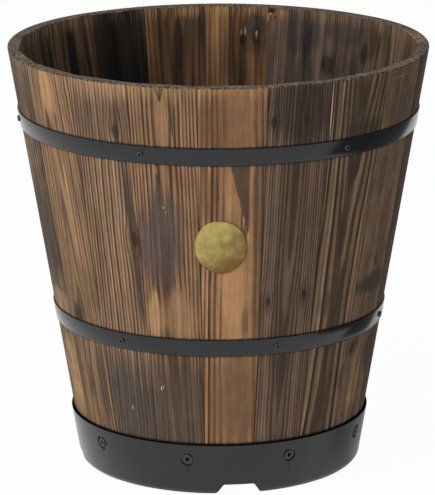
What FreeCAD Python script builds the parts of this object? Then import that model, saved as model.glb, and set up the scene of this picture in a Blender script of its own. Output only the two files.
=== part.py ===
import FreeCAD, Part
import math
import os
import re

import Sketcher
from FreeCAD import Placement, Rotation, Vector

# A tapered planter of wooden staves, round outside, that stand in a moulded base ring and are held by
# two steel hoops. Millimetres, +Z up, origin on the ground on the planter's axis. The front, where
# the brass plate is, faces -Y. A turn is an angle about +Z in degrees, from -Y towards +X.

SIZES = {
    # Body of staves: the radii are measured outside
    "overall_height": 505,
    "rim_radius": 249,
    "foot_radius": 168,
    "stave_count": 19,
    "stave_thickness": 15,
    "stave_angle": 3.8,
    "stave_arris": 1.2,
    "rim_arris": 1.5,
    # Base ring
    "base_height": 65,
    "base_wall": 3,
    "base_clearance": 0.2,
    "base_rim_bevel": 1.2,
    "seat_height": 19,
    "ledge_thickness": 4,
    "ledge_reach": 30,
    "foot_width": 8,
    "foot_bevel": 5,
    # Drain notches in the base ring
    "notch_count": 4,
    "notch_angle": 7.7,
    "notch_width": 54,
    "notch_top_width": 36,
    "notch_headroom": 1.5,
    "notch_rounding": 3.5,
    # Screws of the base ring, their heads sunk in round recesses
    "base_screw_count": 9,
    "base_screw_angle": -12.3,
    "base_screw_height": 46,
    "recess_diameter": 14,
    "recess_depth": 1.6,
    "base_head_diameter": 9,
    # Hoops
    "hoop_width": 20,
    "hoop_thickness": 1.5,
    "hoop_clearance": 0.1,
    "hoop_lap": 60,
    "upper_hoop_height": 423,
    "upper_lap_angle": 188,
    "lower_hoop_height": 187.8,
    "lower_lap_angle": 156.5,
    # Heads of all screws and pins
    "head_sides": 12,
    "head_height": 2.2,
    # Screws of the hoops
    "upper_screw_count": 6,
    "upper_screw_angle": -22,
    "upper_screw_step_angle": 60,
    "lower_screw_count": 6,
    "lower_screw_angle": -34.8,
    "lower_screw_step_angle": 54.6,
    "hoop_head_diameter": 7.2,
    # Brass plate and its pins
    "plate_width": 60,
    "plate_tall": 65,
    "plate_thickness": 3,
    "plate_height": 314,
    "plate_angle": 0.5,
    "pin_count": 2,
    "pin_spacing": 41,
    "pin_head_diameter": 3.4,
    "pin_head_height": 0.9,
    # Floor
    "floor_board_count": 5,
    "floor_thickness": 15,
    "floor_clearance": 1.5,
    "floor_gap": 6,
}

doc = FreeCAD.newDocument("StavePlanter")
sheet = doc.addObject("Spreadsheet::Sheet", "Sizes")
for row, (alias, value) in enumerate(SIZES.items(), start=1):
    sheet.set(f"A{row}", alias.replace("_", " "))
    sheet.set(f"B{row}", str(value))
    sheet.setAlias(f"B{row}", alias)
doc.recompute()


def tied(text):
    """The expression with every size name pointing at its cell of the sheet."""
    return re.sub(r"\b[a-z_]+\b", lambda word: f"Sizes.{word[0]}" if word[0] in SIZES else word[0], text)


def number(text):
    """What an expression comes to now, as a plain number."""
    found = sheet.evalExpression(tied(text))
    return float(getattr(found, "Value", found))


def bind(thing, **expressions):
    """Tie properties of an object to the sheet."""
    for name, text in expressions.items():
        thing.setExpression(name, tied(text))


# Slopes that all pieces share

HALF_STAVE = "(180 / stave_count)"
TAPER = "((rim_radius - foot_radius) / (overall_height - seat_height))"
LEAN = f"atan({TAPER})"
WALL_DEPTH = f"(stave_thickness / cos({LEAN}))"


def wall_radius(height):
    """Outer radius of the staves at a height."""
    return f"(foot_radius + {TAPER} * ({height} - seat_height))"


def aimed(turn, radius, height):
    """A placement at a turn about the axis whose +Z points out of the leaning wall there."""
    spot = f"create(<<vector>>; {radius} * sin({turn}); -{radius} * cos({turn}); {height})"
    return f"create(<<placement>>; {spot}; create(<<rotation>>; {turn}; 0; 90 deg + {LEAN}))"


# Helpers for bodies and their sketches


def new_body(label, turn="0"):
    body = doc.addObject("PartDesign::Body", label)
    body.Label = label
    bind(body, **{"Placement.Rotation.Angle": turn})
    return body


def origin_feature(body, role):
    return next(item for item in body.Origin.OriginFeatures if item.Role == role)


def new_sketch(body, name, plane):
    sketch = body.newObject("Sketcher::SketchObject", name)
    sketch.AttachmentSupport = [(origin_feature(body, plane), "")]
    sketch.MapMode = "FlatFace"
    return sketch


def pin_vertex(sketch, geometry, end, axis, text):
    """Tie one coordinate of a sketch vertex to an expression."""
    value = number(text)
    if abs(value) < 1e-9:
        sketch.addConstraint(Sketcher.Constraint("PointOnObject", geometry, end, -2 if axis == "X" else -1))
        return
    vertex = (geometry, end)
    origin = (-1, 1)
    first, second = (origin, vertex) if value > 0 else (vertex, origin)
    index = sketch.addConstraint(Sketcher.Constraint(f"Distance{axis}", *first, *second, abs(value)))
    sketch.setExpression(f"Constraints[{index}]", tied(text if value > 0 else f"-({text})"))


def draw_outline(sketch, points):
    """A closed outline. A point is (x, y), or (x, y, radius, side) when an arc leads to it from the
    point before, with the arc's centre on the left (1) or right (-1) of that way."""
    spots = [Vector(number(point[0]), number(point[1]), 0) for point in points]
    first = sketch.GeometryCount
    for index, point in enumerate(points):
        start, end = spots[index - 1], spots[index]
        if len(point) == 2:
            sketch.addGeometry(Part.LineSegment(start, end))
            continue
        radius, side = number(point[2]), point[3]
        chord = end - start
        left = Vector(-chord.y, chord.x, 0).normalize()
        rise = radius - math.sqrt(radius ** 2 - (chord.Length / 2) ** 2)
        sketch.addGeometry(Part.Arc(start, (start + end) * 0.5 - left * side * rise, end))
    ends = []
    for index, point in enumerate(points):
        geometry = first + index
        at_end = (sketch.getPoint(geometry, 2) - spots[index]).Length < 1e-6
        ends.append((2, 1) if at_end else (1, 2))
    for index, point in enumerate(points):
        geometry = first + index
        following = first + (index + 1) % len(points)
        arrives = ends[index][0]
        leaves = ends[(index + 1) % len(points)][1]
        sketch.addConstraint(Sketcher.Constraint("Coincident", geometry, arrives, following, leaves))
        pin_vertex(sketch, geometry, arrives, "X", point[0])
        pin_vertex(sketch, geometry, arrives, "Y", point[1])
        if len(point) > 2:
            bend = sketch.addConstraint(Sketcher.Constraint("Radius", geometry, number(point[2])))
            sketch.setExpression(f"Constraints[{bend}]", tied(point[2]))


def revolve(body, sketch, angle="360"):
    feature = body.newObject("PartDesign::Revolution", f"{sketch.Name}_turned")
    feature.Profile = sketch
    feature.ReferenceAxis = (sketch, ["V_Axis"])
    feature.Midplane = True
    bind(feature, Angle=angle)
    return feature


def bore(body, name, radius, length, placement):
    """Cut a round hole along a placement's +Z, from its start."""
    feature = body.newObject("PartDesign::SubtractiveCylinder", name)
    bind(feature, Radius=radius, Height=length, Placement=placement)
    return feature


def polar(body, name, originals, count, pitch=None):
    """Repeat features round the axis, over the full circle or at a pitch."""
    feature = body.newObject("PartDesign::PolarPattern", name)
    feature.Originals = originals
    feature.Axis = (origin_feature(body, "Z_Axis"), [""])
    bind(feature, Occurrences=count, Angle=f"{pitch} * ({count} - 1)" if pitch else "360")
    body.Tip = feature
    return feature


def bevel_edges(body, name, size, wanted):
    """Bevel the edges that a test on the edge and its middle picks out."""
    doc.recompute()
    base = body.Tip
    edges = [f"Edge{index}" for index, edge in enumerate(base.Shape.Edges, start=1)
             if wanted(edge, edge.CenterOfMass)]
    feature = body.newObject("PartDesign::Chamfer", f"{body.Name}_{name}")
    feature.Base = (base, edges)
    bind(feature, Size=size)
    return feature


# Fasteners: the heads, each square to the leaning wall that it holds, one spec to a kind


def out_of_wall(radius, height, distance):
    """The radius and height of a point that stands a distance out of a leaning wall."""
    return f"({radius} + ({distance}) * cos({LEAN}))", f"({height} - ({distance}) * sin({LEAN}))"


def hoop_radius(height):
    """Inner radius of a hoop at a height: it bears on the staves all round."""
    return f"({wall_radius(height)} + hoop_clearance)"


def hoop_seat(height):
    """The point of a hoop's outer face at its middle height."""
    return out_of_wall(hoop_radius(height), height, "hoop_thickness")


def skirt_radius(height):
    """Inner radius of the base ring's skirt at a height."""
    return f"({wall_radius(height)} + base_clearance)"


def skirt_point(distance):
    """A point at the height of the base screws, a distance out of the skirt's inner face."""
    return out_of_wall(skirt_radius("base_screw_height"), "base_screw_height", distance)


PIN_PITCH = f"(pin_spacing / {wall_radius('plate_height')} * 180 / pi)"

FASTENERS = {
    "upper_hoop_screws": {
        "seat": hoop_seat("upper_hoop_height"),
        "turn": "upper_screw_angle",
        "pitch": "upper_screw_step_angle",
        "count": "upper_screw_count",
        "head": "hoop_head_diameter",
        "rise": "head_height",
    },
    "lower_hoop_screws": {
        "seat": hoop_seat("lower_hoop_height"),
        "turn": "lower_screw_angle",
        "pitch": "lower_screw_step_angle",
        "count": "lower_screw_count",
        "head": "hoop_head_diameter",
        "rise": "head_height",
    },
    "base_screws": {
        "seat": skirt_point("base_wall - recess_depth"),
        "turn": "base_screw_angle",
        "pitch": "(360 / base_screw_count)",
        "count": "base_screw_count",
        "head": "base_head_diameter",
        "rise": "head_height",
    },
    "plate_pins": {
        "seat": out_of_wall(wall_radius("plate_height"), "plate_height", "plate_thickness"),
        "turn": f"(plate_angle - {PIN_PITCH} / 2)",
        "pitch": PIN_PITCH,
        "count": "pin_count",
        "head": "pin_head_diameter",
        "rise": "pin_head_height",
    },
}


def make_fasteners(label, spec):
    """A ring of many-sided heads that sit on their seats."""
    body = new_body(label, spec["turn"])
    body.AllowCompound = True
    one = body.newObject("PartDesign::AdditivePrism", f"{label}_head")
    bind(one, Polygon="head_sides", Circumradius=f"{spec['head']} / 2", Height=spec["rise"],
         Placement=aimed("0", *spec["seat"]))
    polar(body, f"{label}_ring", [one], spec["count"], spec["pitch"])
    return body


# Staves: turned round outside through a stave's share of the circle, planed flat inside, with eased
# outer edges at the joints


def make_stave(label, turn):
    body = new_body(label, turn)
    foot = wall_radius("seat_height")
    rim = wall_radius("overall_height")
    inner_foot = f"({WALL_DEPTH} - {foot})"
    inner_rim = f"({WALL_DEPTH} - {rim})"
    side = new_sketch(body, f"{label}_side", "YZ_Plane")
    draw_outline(side, [
        (f"-{foot}", "seat_height"),
        (f"{inner_foot} + {WALL_DEPTH}", "seat_height"),
        (f"{inner_rim} + {WALL_DEPTH}", "overall_height"),
        (f"rim_arris - {rim}", "overall_height"),
        (f"rim_arris * sin({LEAN}) - {rim}", f"overall_height - rim_arris * cos({LEAN})"),
    ])
    revolve(body, side, angle=f"{HALF_STAVE} * 2")
    waste = new_sketch(body, f"{label}_waste", "YZ_Plane")
    draw_outline(waste, [
        (inner_foot, "seat_height"),
        ("0", "seat_height"),
        ("0", "overall_height"),
        (inner_rim, "overall_height"),
    ])
    planed = body.newObject("PartDesign::Pocket", f"{label}_planed")
    planed.Profile = waste
    planed.Type = "ThroughAll"
    planed.Midplane = True
    half_height = number("overall_height / 2")
    middle_of_wall = number(f"{wall_radius('(seat_height + overall_height) / 2')} - {WALL_DEPTH} / 2")
    bevel_edges(body, "arris", "stave_arris", lambda edge, middle: (
        edge.Length > half_height and math.hypot(middle.x, middle.y) > middle_of_wall
    ))
    return body


# Hoops: a conical steel band whose ends overlap at the back, where they are welded


def make_hoop(name):
    height = f"{name}_hoop_height"
    lap_turn = f"{name}_lap_angle"
    body = new_body(f"{name}_hoop", lap_turn)
    lap_angle = f"hoop_lap / {hoop_radius(height)} * 180 / pi"
    for layer, (part, angle) in enumerate((("band", "360"), ("lap", lap_angle))):
        section = new_sketch(body, f"{name}_{part}", "YZ_Plane")
        corners = []
        for along, depth in ((-1, layer), (1, layer), (1, layer + 1), (-1, layer + 1)):
            radius, level = out_of_wall(hoop_radius(height), height, f"hoop_thickness * {depth}")
            rise = f"({along} * hoop_width / 2)"
            corners.append((f"-({radius} + {rise} * sin({LEAN}))", f"{level} + {rise} * cos({LEAN})"))
        draw_outline(section, corners)
        revolve(body, section, angle=angle)
    return body


# Base ring: a moulded skirt round the feet of the staves, with a ledge that carries staves and floor,
# drain notches at the ground and recesses for the screws

LEDGE_UNDER = "(seat_height - ledge_thickness)"
LEDGE_BORE = f"({skirt_radius('seat_height')} - ledge_reach)"
SKIRT_DEPTH = f"(base_wall / cos({LEAN}))"
FOOT_OUTER = f"({skirt_radius('0')} + {SKIRT_DEPTH})"
FOOT_INNER = f"({FOOT_OUTER} - foot_width)"
NOTCH_TOP = f"({LEDGE_UNDER} - notch_headroom)"


def draw_ring_section(body):
    """The section that is turned about the axis, drawn at negative radius."""
    rim_inner = skirt_radius("base_height")
    rim_outer = f"({rim_inner} + {SKIRT_DEPTH})"
    section = new_sketch(body, "base_section", "YZ_Plane")
    draw_outline(section, [
        (f"-{FOOT_INNER}", "0"),
        (f"foot_bevel - {FOOT_OUTER}", "0"),
        (f"-foot_bevel * sin({LEAN}) - {FOOT_OUTER}", f"foot_bevel * cos({LEAN})"),
        (f"base_rim_bevel * sin({LEAN}) - {rim_outer}", f"base_height - base_rim_bevel * cos({LEAN})"),
        (f"base_rim_bevel - {rim_outer}", "base_height"),
        (f"-{rim_inner}", "base_height"),
        (f"-{skirt_radius('seat_height')}", "seat_height"),
        (f"-{LEDGE_BORE}", "seat_height"),
        (f"-{LEDGE_BORE}", LEDGE_UNDER),
        (f"-{FOOT_INNER}", LEDGE_UNDER),
    ])
    return section


def draw_notch(body):
    """A flat-topped notch with sloping sides and eased corners, seen from the front."""
    slope = f"atan({NOTCH_TOP} * 2 / (notch_width - notch_top_width))"
    bend = f"(notch_rounding * tan({slope} / 2))"
    foot_x = f"({bend} * cos({slope}) - notch_width / 2)"
    head_x = f"(-{bend} * cos({slope}) - notch_top_width / 2)"
    rise = f"({bend} * sin({slope}))"
    left = [
        (f"(-{bend} - notch_width / 2)", "0"),
        (foot_x, rise, "notch_rounding", 1),
        (head_x, f"{NOTCH_TOP} - {rise}"),
        (f"({bend} - notch_top_width / 2)", NOTCH_TOP, "notch_rounding", -1),
    ]
    right = [
        (f"-{left[3][0]}", NOTCH_TOP),
        (f"-{head_x}", f"{NOTCH_TOP} - {rise}", "notch_rounding", -1),
        (f"-{foot_x}", rise),
        (f"-{left[0][0]}", "0", "notch_rounding", 1),
    ]
    notch = new_sketch(body, "notch_outline", "XZ_Plane")
    draw_outline(notch, left + right)
    return notch


def make_base_ring():
    body = new_body("base_ring", "notch_angle")
    revolve(body, draw_ring_section(body))
    doc.recompute()
    before = body.Shape.Volume

    notch = body.newObject("PartDesign::Pocket", "notch")
    notch.Profile = draw_notch(body)
    notch.Type = "Length"
    notch.Reversed = True
    bind(notch, Length="rim_radius")
    polar(body, "notches", [notch], "notch_count")
    doc.recompute()
    if body.Shape.Volume >= before:
        raise RuntimeError("the drain notches cut nothing")

    recess = bore(body, "screw_recess", "recess_diameter / 2", "recess_depth * 2",
                  aimed("(base_screw_angle - notch_angle)", *skirt_point("base_wall - recess_depth")))
    polar(body, "screw_recesses", [recess], "base_screw_count")
    return body


# Brass plate: an oval cut out of a sheet that is bent to the round of the staves


def make_plate():
    sheet_body = new_body("plate_sheet", "plate_angle")
    section = new_sketch(sheet_body, "plate_section", "YZ_Plane")
    corners = []
    for along, depth in ((-1, "0"), (1, "0"), (1, "plate_thickness"), (-1, "plate_thickness")):
        radius, level = out_of_wall(wall_radius("plate_height"), "plate_height", depth)
        rise = f"({along} * plate_tall)"
        corners.append((f"-({radius} + {rise} * sin({LEAN}))", f"{level} + {rise} * cos({LEAN})"))
    draw_outline(section, corners)
    revolve(sheet_body, section, angle=f"plate_width / {wall_radius('plate_height')} * 360 / pi")

    oval = doc.addObject("Part::Ellipse", "plate_oval")
    oval.Placement = Placement(Vector(0, 0, 0), Rotation(Vector(0, 0, 1), 90))
    bind(oval, MajorRadius="plate_tall / 2", MinorRadius="plate_width / 2")
    punch = doc.addObject("Part::Extrusion", "plate_punch")
    punch.Base = oval
    punch.DirMode = "Custom"
    punch.Dir = Vector(0, 0, 1)
    punch.Solid = True
    bind(punch, LengthFwd="plate_width / 2", LengthRev="plate_width / 2",
         Placement=aimed("plate_angle", wall_radius("plate_height"), "plate_height"))

    plate = doc.addObject("Part::Common", "brass_plate")
    plate.Base = sheet_body
    plate.Tool = punch
    plate.Label = "brass_plate"
    return plate


# Floor: boards with drain gaps between them, cut to one round that drops in between the staves

FLOOR_RADIUS = f"({wall_radius('seat_height')} - {WALL_DEPTH} - floor_clearance)"
BOARD_WIDTH = f"((2 * {FLOOR_RADIUS} - (floor_board_count - 1) * floor_gap) / floor_board_count)"


def make_floor_board(index):
    label = f"floor_board_{index + 1}"
    round_form = doc.addObject("Part::Cylinder", f"{label}_round")
    bind(round_form, **{
        "Radius": FLOOR_RADIUS,
        "Height": "floor_thickness",
        "Placement.Base.z": "seat_height",
    })
    strip = doc.addObject("Part::Box", f"{label}_strip")
    bind(strip, **{
        "Length": BOARD_WIDTH,
        "Width": f"2 * {FLOOR_RADIUS}",
        "Height": "floor_thickness",
        "Placement.Base.x": f"{index} * ({BOARD_WIDTH} + floor_gap) - {FLOOR_RADIUS}",
        "Placement.Base.y": f"-{FLOOR_RADIUS}",
        "Placement.Base.z": "seat_height",
    })
    board = doc.addObject("Part::Common", label)
    board.Base = strip
    board.Tool = round_form
    board.Label = label
    return board


# The planter, from the ground up

sub_parts = [make_base_ring()]
for index in range(round(number("floor_board_count"))):
    sub_parts.append(make_floor_board(index))
for index in range(round(number("stave_count"))):
    sub_parts.append(make_stave(f"stave_{index + 1:02d}", f"stave_angle + {index} * 360 / stave_count"))
for hoop in ("lower", "upper"):
    sub_parts.append(make_hoop(hoop))
for label, spec in FASTENERS.items():
    sub_parts.append(make_fasteners(label, spec))
sub_parts.append(make_plate())
doc.recompute()

faults = [item.Label for item in doc.Objects if {"Invalid", "Error"} & set(item.State)]
for item in sub_parts:
    if item.Shape.isNull() or not item.Shape.isValid() or not item.Shape.Solids:
        faults.append(item.Label)
if faults:
    raise RuntimeError(f"not built: {', '.join(faults)}")

os.makedirs("parts", exist_ok=True)
for item in sub_parts:
    item.Shape.exportStep(f"parts/{item.Label}.step")
    print(item.Label, len(item.Shape.Solids), round(item.Shape.Volume / 1000, 2), "cm3")
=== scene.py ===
import math

import bmesh
import bpy
from mathutils import Matrix, Vector


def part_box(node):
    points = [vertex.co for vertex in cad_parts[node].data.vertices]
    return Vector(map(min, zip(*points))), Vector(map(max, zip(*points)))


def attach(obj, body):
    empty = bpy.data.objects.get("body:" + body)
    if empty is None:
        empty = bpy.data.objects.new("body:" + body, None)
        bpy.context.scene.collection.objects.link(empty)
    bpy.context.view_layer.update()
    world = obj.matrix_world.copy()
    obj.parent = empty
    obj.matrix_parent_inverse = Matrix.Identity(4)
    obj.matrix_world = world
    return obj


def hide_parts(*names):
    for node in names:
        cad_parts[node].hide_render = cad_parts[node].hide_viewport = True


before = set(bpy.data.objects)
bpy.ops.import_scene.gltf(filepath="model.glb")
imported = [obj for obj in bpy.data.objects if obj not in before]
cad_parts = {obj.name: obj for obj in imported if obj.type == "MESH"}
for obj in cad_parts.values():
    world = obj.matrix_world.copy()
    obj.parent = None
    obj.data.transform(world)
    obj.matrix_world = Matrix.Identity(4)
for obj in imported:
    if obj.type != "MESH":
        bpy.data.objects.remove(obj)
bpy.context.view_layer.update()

# Base ring: one moulding in satin black plastic. Its skirt leans out with the staves that stand in
# it on a ledge, its foot is rounded, four drain notches are cut at the ground and nine shallow
# recesses take the screws.

RIM_RADIUS, FOOT_RADIUS = 0.249, 0.168
RIM_HEIGHT, SEAT_HEIGHT = 0.505, 0.019
TAPER = (RIM_RADIUS - FOOT_RADIUS) / (RIM_HEIGHT - SEAT_HEIGHT)
LEAN = math.atan(TAPER)
HAIR = 0.00001  # two places nearer than this are one


def wall_radius(height):
    """Outer radius of the staves."""
    return FOOT_RADIUS + TAPER * (height - SEAT_HEIGHT)


def outward(turn):
    """Square out of the leaning wall at a turn about the axis, from the front towards the right."""
    return Vector((math.sin(turn) * math.cos(LEAN), -math.cos(turn) * math.cos(LEAN), -math.sin(LEAN)))


def on_wall(turn, height, out):
    """A point that stands off the outer face of the staves."""
    radius = wall_radius(height)
    return Vector((radius * math.sin(turn), -radius * math.cos(turn), height)) + outward(turn) * out


def colour(red, green, blue):
    """A screen colour as the light that Blender works in."""
    light = [((level / 255 + 0.055) / 1.055) ** 2.4 if level > 10 else level / 3294.6
             for level in (red, green, blue)]
    return (*light, 1)


class Wire:
    """A value in a material's nodes. Sums written on it become Math nodes."""

    def __init__(self, finish, socket):
        self.finish = finish
        self.socket = socket

    def math(self, operation, *others):
        values = dict(enumerate((self,) + others))
        return self.finish.node("ShaderNodeMath", {"operation": operation}, values)

    def __add__(self, other):
        return self.math("ADD", other)

    def __mul__(self, other):
        return self.math("MULTIPLY", other)

    def __sub__(self, other):
        return self.math("SUBTRACT", other)

    def __truediv__(self, other):
        return self.math("DIVIDE", other)

    def __pow__(self, other):
        return self.math("POWER", other)

    def __rsub__(self, other):
        return self.finish.node("ShaderNodeMath", {"operation": "SUBTRACT"}, {0: other, 1: self})

    __radd__ = __add__
    __rmul__ = __mul__

    def step(self, start, end):
        """0 before start, 1 after end, smooth between them."""
        return self.finish.node("ShaderNodeMapRange", {"interpolation_type": "SMOOTHSTEP"},
                                {"Value": self, "From Min": start, "From Max": end})


class Finish:
    """A material, with its shader's plain values set on the shader itself."""

    def __init__(self, name, **plain):
        self.material = bpy.data.materials.new(name)
        self.material.use_nodes = True
        self.tree = self.material.node_tree
        self.shader = self.tree.nodes["Principled BSDF"]
        for socket, value in plain.items():
            self.shader.inputs[socket.replace("_", " ")].default_value = value
        self.place = self.node("ShaderNodeTexCoord", out="Object")

    def node(self, kind, settings={}, sockets={}, out=0):
        made = self.tree.nodes.new(kind)
        for name, value in settings.items():
            setattr(made, name, value)
        for name, value in sockets.items():
            if isinstance(value, Wire):
                self.tree.links.new(value.socket, made.inputs[name])
            else:
                made.inputs[name].default_value = value
        return Wire(self, made.outputs[out])

    def split(self, vector):
        parts = self.tree.nodes.new("ShaderNodeSeparateXYZ")
        self.tree.links.new(vector.socket, parts.inputs[0])
        return [Wire(self, output) for output in parts.outputs]

    def vector(self, x, y, z):
        return self.node("ShaderNodeCombineXYZ", {}, {0: x, 1: y, 2: z})

    def noise(self, vector, scale, seed=0.0, detail=2.0, rough=0.5):
        return self.node("ShaderNodeTexNoise", {"noise_dimensions": "4D"}, {
            "Vector": vector, "W": seed, "Scale": scale, "Detail": detail, "Roughness": rough})

    def blend(self, share, under, over, way="MIX"):
        return self.node("ShaderNodeMix", {"data_type": "RGBA", "blend_type": way},
                         {0: share, 6: under, 7: over}, out=2)

    def feed(self, **values):
        for socket, value in values.items():
            self.tree.links.new(value.socket, self.shader.inputs[socket.replace("_", " ")])

    def bump(self, height, strength, distance):
        self.feed(Normal=self.node("ShaderNodeBump", {}, {
            "Height": height, "Strength": strength, "Distance": distance}))

    def cover(self, share, over):
        """Lay a second shader over the material's own."""
        under = Wire(self, self.shader.outputs[0])
        mixed = self.node("ShaderNodeMixShader", {}, {0: share, 1: under, 2: over})
        self.tree.links.new(mixed.socket, self.tree.nodes["Material Output"].inputs[0])


def start_piece(name):
    """Name the primitive just added, and put its place and size into its mesh."""
    piece = bpy.context.object
    piece.name = name
    piece.data.name = name
    bpy.ops.object.transform_apply(location=True, rotation=True, scale=True)
    return piece


def pick(piece, wanted, kind="VERT"):
    """In edit mode, select the parts of a piece whose corners all pass a test."""
    bpy.context.tool_settings.mesh_select_mode = (kind == "VERT", kind == "EDGE", kind == "FACE")
    mesh = bmesh.from_edit_mesh(piece.data)
    for group in (mesh.faces, mesh.edges, mesh.verts):
        for part in group:
            part.select = False
    for part in {"VERT": mesh.verts, "EDGE": mesh.edges, "FACE": mesh.faces}[kind]:
        corners = [part] if kind == "VERT" else part.verts
        if all(wanted(corner.co) for corner in corners):
            part.select_set(True)
    mesh.select_flush_mode()
    bmesh.update_edit_mesh(piece.data)


RING_STEPS = 240


def turn_ring(name, section):
    """A ring whose section, a closed run of (radius, height), is drawn out loop by loop from a circle."""
    bpy.ops.object.select_all(action="DESELECT")
    first_radius, first_height = section[0]
    bpy.ops.mesh.primitive_circle_add(vertices=RING_STEPS, radius=first_radius,
                                      location=(0, 0, first_height))
    ring = start_piece(name)
    bpy.ops.object.mode_set(mode="EDIT")
    bpy.context.tool_settings.mesh_select_mode = (False, True, False)
    bpy.ops.mesh.select_all(action="SELECT")
    for (radius, height), (next_radius, next_height) in zip(section, section[1:] + section[:1]):
        bpy.ops.mesh.extrude_region_move(TRANSFORM_OT_translate={"value": (0, 0, next_height - height)})
        share = next_radius / radius
        bpy.ops.transform.resize(value=(share, share, 1), center_override=(0, 0, next_height))
    bpy.ops.mesh.select_all(action="SELECT")
    bpy.ops.mesh.remove_doubles(threshold=HAIR)
    bpy.ops.mesh.normals_make_consistent(inside=False)
    return ring


def ring_edges(piece, radius, height, reach=0.0002):
    """In edit mode, select the edges that run round a ring at a radius and height."""
    pick(piece, lambda co: abs(co.xy.length - radius) < reach and abs(co.z - height) < reach, "EDGE")


def finish_piece(piece, material, slot, *nodes, angle=35):
    """Leave edit mode, smooth the shading, and stand the piece in for its nodes."""
    if bpy.context.mode == "EDIT_MESH":
        bpy.ops.object.mode_set(mode="OBJECT")
    bpy.ops.object.select_all(action="DESELECT")
    piece.select_set(True)
    bpy.context.view_layer.objects.active = piece
    bpy.ops.object.shade_smooth_by_angle(angle=math.radians(angle))
    if not piece.data.materials:
        piece.data.materials.append(material)
    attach(piece, "root")
    if nodes:
        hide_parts(*nodes)


SKIRT_CLEARANCE, SKIRT_WALL, SKIRT_HEIGHT = 0.0002, 0.003, 0.065
SKIRT_OUTER_ARRIS, SKIRT_INNER_ARRIS = 0.0012, 0.0006
LEDGE_REACH, LEDGE_UNDER, FOOT_WIDTH, FOOT_ROUNDING = 0.030, 0.015, 0.008, 0.0075
NOTCH_TURN, NOTCH_REACH, NOTCH_ROUNDING = 7.7, 0.06, 0.0018
NOTCH_TOP, NOTCH_WIDTH, NOTCH_TOP_WIDTH = 0.0135, 0.054, 0.036
NOTCH_FLARE = 0.0026
FLARE_STEPS = ((0.0012, 1.05), (0.0008, 1.06), (0.00045, 1.07), (0.0003, 1.05), (0.01, 1))
RECESS_RADIUS, RECESS_DEPTH, RECESS_CUT = 0.0084, 0.0016, 0.008
BASE_SCREW_HEIGHT, BASE_SCREW_FIRST, BASE_SCREW_PITCH = 0.046, -12.3, 40
BASE_SCREW_TURNS = [math.radians(BASE_SCREW_FIRST + BASE_SCREW_PITCH * index) for index in range(9)]

skirt_depth = SKIRT_WALL / math.cos(LEAN)
foot_outer = wall_radius(0) + SKIRT_CLEARANCE + skirt_depth
rim_inner = wall_radius(SKIRT_HEIGHT) + SKIRT_CLEARANCE
ledge_outer = wall_radius(SEAT_HEIGHT) + SKIRT_CLEARANCE
recess_floor = SKIRT_CLEARANCE + SKIRT_WALL - RECESS_DEPTH
base_ring = turn_ring("base_ring_moulded", [
    (foot_outer - FOOT_WIDTH, 0),
    (foot_outer, 0),
    (rim_inner + skirt_depth, SKIRT_HEIGHT),
    (rim_inner, SKIRT_HEIGHT),
    (ledge_outer, SEAT_HEIGHT),
    (ledge_outer - LEDGE_REACH, SEAT_HEIGHT),
    (ledge_outer - LEDGE_REACH, LEDGE_UNDER),
    (foot_outer - FOOT_WIDTH, LEDGE_UNDER),
])
ring_edges(base_ring, foot_outer, 0)
bpy.ops.mesh.bevel(offset=FOOT_ROUNDING, segments=6, affect="EDGES")
ring_edges(base_ring, rim_inner + skirt_depth, SKIRT_HEIGHT)
bpy.ops.mesh.bevel(offset=SKIRT_OUTER_ARRIS, segments=3, affect="EDGES")
ring_edges(base_ring, rim_inner, SKIRT_HEIGHT)
bpy.ops.mesh.bevel(offset=SKIRT_INNER_ARRIS, segments=2, affect="EDGES")
bpy.ops.object.mode_set(mode="OBJECT")

cutters = []
for quarter in range(4):
    bpy.ops.object.select_all(action="DESELECT")
    bpy.ops.mesh.primitive_cube_add(size=1, location=(0, -foot_outer, NOTCH_TOP / 2),
                                    scale=(NOTCH_WIDTH, NOTCH_REACH, NOTCH_TOP))
    cutter = start_piece("notch_cutter")
    bpy.ops.object.mode_set(mode="EDIT")
    pick(cutter, lambda co: co.z > NOTCH_TOP / 2)
    bpy.ops.transform.resize(value=(NOTCH_TOP_WIDTH / NOTCH_WIDTH, 1, 1), center_override=(0, 0, NOTCH_TOP))
    for hand in (1, -1):
        pick(cutter, lambda co: co.z > NOTCH_TOP / 2 and co.x * hand > 0, "EDGE")
        bpy.ops.mesh.bevel(offset=NOTCH_ROUNDING, segments=3, affect="EDGES")
    pick(cutter, lambda co: co.z < HAIR, "FACE")
    bpy.ops.transform.translate(value=(0, 0, NOTCH_FLARE))
    narrowed = (NOTCH_WIDTH - NOTCH_TOP_WIDTH) * NOTCH_FLARE / NOTCH_TOP
    bpy.ops.transform.resize(value=(1 - narrowed / NOTCH_WIDTH, 1, 1), center_override=(0, 0, 0))
    for lower, wider in FLARE_STEPS:
        bpy.ops.mesh.extrude_region_move(TRANSFORM_OT_translate={"value": (0, 0, -lower)})
        bpy.ops.transform.resize(value=(wider, 1, 1), center_override=(0, 0, 0))
    bpy.ops.object.mode_set(mode="OBJECT")
    cutter.data.transform(Matrix.Rotation(math.radians(NOTCH_TURN + 90 * quarter), 4, "Z"))
    cutters.append(cutter)
for turn in BASE_SCREW_TURNS:
    middle = on_wall(turn, BASE_SCREW_HEIGHT, recess_floor + RECESS_CUT / 2)
    aim = outward(turn).to_track_quat("Z", "Y").to_euler()
    bpy.ops.mesh.primitive_cylinder_add(vertices=40, radius=RECESS_RADIUS, depth=RECESS_CUT,
                                        location=middle, rotation=aim)
    cutters.append(start_piece("recess_cutter"))
bpy.ops.object.select_all(action="DESELECT")
for cutter in cutters:
    cutter.select_set(True)
bpy.context.view_layer.objects.active = cutters[0]
bpy.ops.object.join()
bpy.ops.object.select_all(action="DESELECT")
base_ring.select_set(True)
bpy.context.view_layer.objects.active = base_ring
bpy.ops.object.modifier_add(type="BOOLEAN")
base_ring.modifiers["Boolean"].object = cutters[0]
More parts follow.
